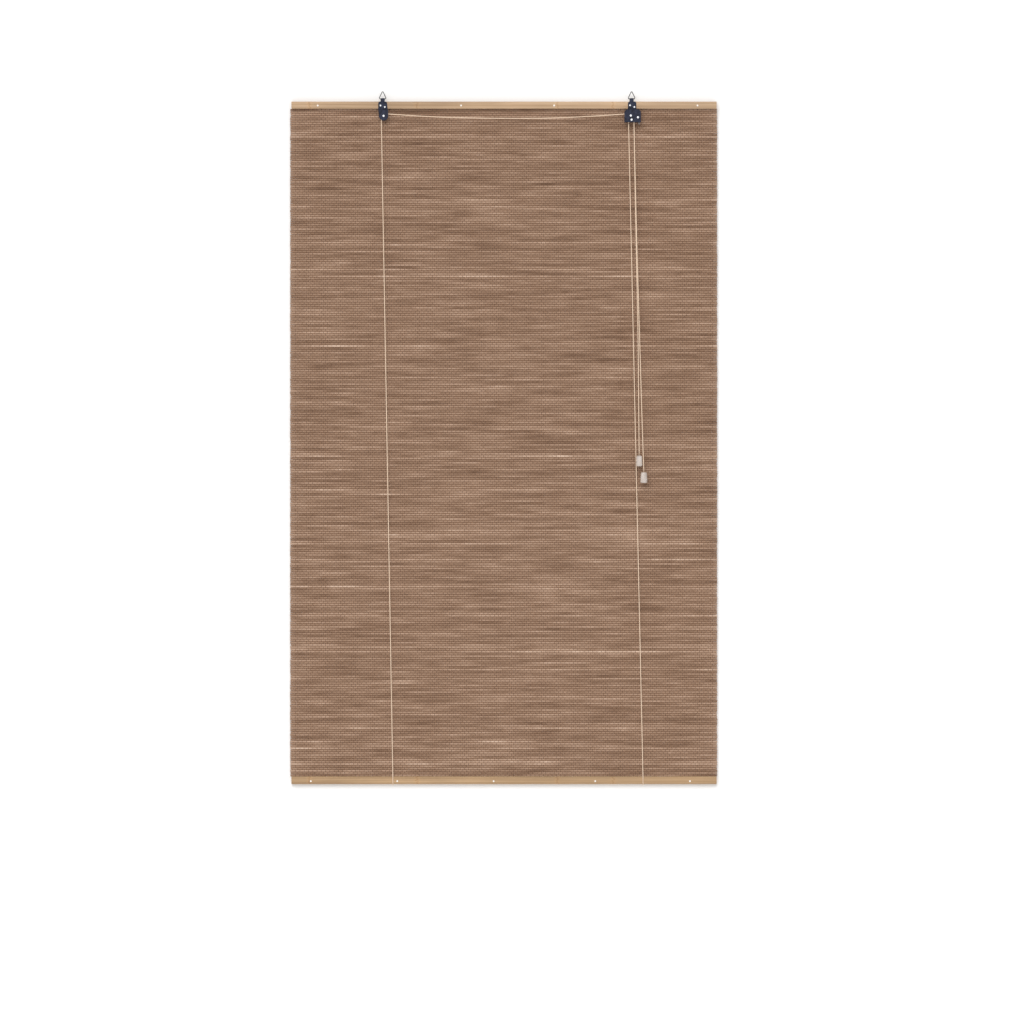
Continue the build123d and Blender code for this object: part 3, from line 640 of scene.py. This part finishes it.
def build_cords():
    """Routes repeat the CAD model's points, in metres, with more beside the pulleys."""
    left, lock, roller = middle("left_pulley"), middle("lock_pulley"), middle("lock_roller")
    rear, front = lock.y + LANE, lock.y - LANE
    wrap = 2 * PULLEY_REACH
    # offsets under a millimetre make up for the smoothing, which cuts corners
    left_x, left_top = left.x - PULLEY_REACH, left.z + PULLEY_REACH + 0.0004
    right_x, lock_top = lock.x - PULLEY_REACH, lock.z + PULLEY_REACH
    turn_x = lock.x + PULLEY_REACH + 0.0006
    out_x, roller_z = roller.x + ROLLER_REACH, roller.z - 0.0008

    rise = [(left_x, left.y, SPLIT_Z), (left_x, left.y, left_top - wrap), (left_x, left.y, left_top)]
    across = [(left_x + wrap, left.y, left_top - 0.0008)]
    for step, (x, z) in enumerate(SAG):
        share = (step + 1) / (len(SAG) + 1)
        across.append((x, left.y + (front - left.y) * share, z))
    fall = [
        (turn_x - wrap, front, lock_top - 0.0005),
        (turn_x, front, lock_top + 0.0003),
        (out_x, front, roller_z),
        (out_x, front, SPLIT_Z),
    ]
    add_cord("cross_cord_braid", "cross_cord", rise + across + fall)
    inside = [
        (right_x, rear, SPLIT_Z),
        (right_x, rear, lock_top - wrap),
        (right_x, rear, lock_top),
        (turn_x, rear, lock_top),
        (out_x, rear, roller_z),
        (out_x, rear, SPLIT_Z),
    ]
    add_cord("lock_cord_braid", "lock_cord", inside)

    eye_left, eye_right = middle("left_anchor_knot").x, middle("right_anchor_knot").x
    build_loop("left_lift_braid", "left_lift_cord", eye_left, LEFT_LOOP_X, (left_x, left.y))
    build_loop("right_lift_braid", "right_lift_cord", eye_right, RIGHT_LOOP_X, (right_x, rear))
    build_pull_cord("right_pull_cord", "upper_tassel", (out_x, rear, SPLIT_Z), RIGHT_HANG)
    build_pull_cord("left_pull_cord", "lower_tassel", (out_x, front, SPLIT_Z), LEFT_HANG)


# ---------------------------------------------------------------- stage
def stage_material(name):
    """Plain off-white, which shows only from its front."""
    shader = Shader(name, 0.9, specular=0.0)
    mottle = shader.noise(shader.mapped(), 3.0)
    shader.link(shader.ramp(mottle, (0.3, (0.93, 0.93, 0.93)), (0.7, (0.94, 0.94, 0.94))), "Base Color")
    side = shader.node("ShaderNodeNewGeometry").outputs["Backfacing"]
    clear = shader.node("ShaderNodeBsdfTransparent")
    both = shader.node("ShaderNodeMixShader", Fac=side)
    shader.tree.links.new(shader.surface.outputs[0], both.inputs[1])
    shader.tree.links.new(clear.outputs[0], both.inputs[2])
    shader.tree.links.new(both.outputs[0], shader.tree.nodes["Material Output"].inputs[0])
    return shader.material


def plane(name, corners, material):
    """One square of the stage."""
    mesh = bpy.data.meshes.new(name)
    mesh.from_pydata(corners, [], [(0, 1, 2, 3)])
    mesh.materials.append(material)
    made = bpy.data.objects.new(name, mesh)
    bpy.context.scene.collection.objects.link(made)
    return made


def build_stage():
    """A white wall close behind the blind, which blocks no light, and a pale floor far below."""
    wall_y = cad_high[1] + WALL_GAP
    floor_z = cad_low[2] - 2 * LIFT
    wall = [
        (-WALL_HALF_WIDTH, wall_y, floor_z),
        (WALL_HALF_WIDTH, wall_y, floor_z),
        (WALL_HALF_WIDTH, wall_y, WALL_TOP),
        (-WALL_HALF_WIDTH, wall_y, WALL_TOP),
    ]
    backdrop = plane("wall", wall, stage_material("wall_white"))
    backdrop.visible_diffuse = backdrop.visible_glossy = backdrop.visible_shadow = False
    floor = [(x * FLOOR_HALF, y * FLOOR_HALF, floor_z) for x, y in ((-1, -1), (1, -1), (1, 1), (-1, 1))]
    plane("floor", floor, stage_material("floor_white"))


def soft_light(name, direction, strength, colour):
    """A far light whose shadows have wide soft edges."""
    data = bpy.data.lights.new(name, "SUN")
    data.energy = strength
    data.angle = math.radians(LIGHT_SPREAD)
    data.color = colour
    lamp = bpy.data.objects.new(name, data)
    lamp.rotation_euler = Vector(direction).to_track_quat("-Z", "Y").to_euler()
    bpy.context.scene.collection.objects.link(lamp)


def build_light():
    """A broad light from above and a little to the left, one from behind, and an evenly white room."""
    soft_light("key", KEY_DIRECTION, KEY_STRENGTH, (1.0, 0.995, 0.985))
    soft_light("back", BACK_DIRECTION, BACK_STRENGTH, (1.0, 1.0, 1.0))
    world = bpy.data.worlds.new("room")
    world.use_nodes = True
    background = world.node_tree.nodes["Background"]
    background.inputs["Color"].default_value = (1.0, 1.0, 1.0, 1.0)
    background.inputs["Strength"].default_value = ROOM_STRENGTH
    scene = bpy.context.scene
    scene.world = world
    scene.view_settings.view_transform = "Standard"
    scene.view_settings.look = "None"


def build_camera():
    """Square-on, from far enough back to look almost parallel."""
    data = bpy.data.cameras.new("camera")
    data.lens = LENS
    data.sensor_width = SENSOR
    data.clip_end = VIEW_DEPTH
    camera = bpy.data.objects.new("camera", data)
    distance = VIEW_WIDTH * LENS / SENSOR
    head_middle = (head_low[2] + head_high[2]) / 2
    camera.location = (VIEW_RIGHT, slats_low[1] - distance, head_middle - VIEW_DROP)
    camera.rotation_euler = (math.pi / 2, 0.0, 0.0)
    bpy.context.scene.collection.objects.link(camera)
    bpy.context.scene.camera = camera


build_camera()
build_light()
build_stage()
build_cords()
build_mat()
dress_cad()
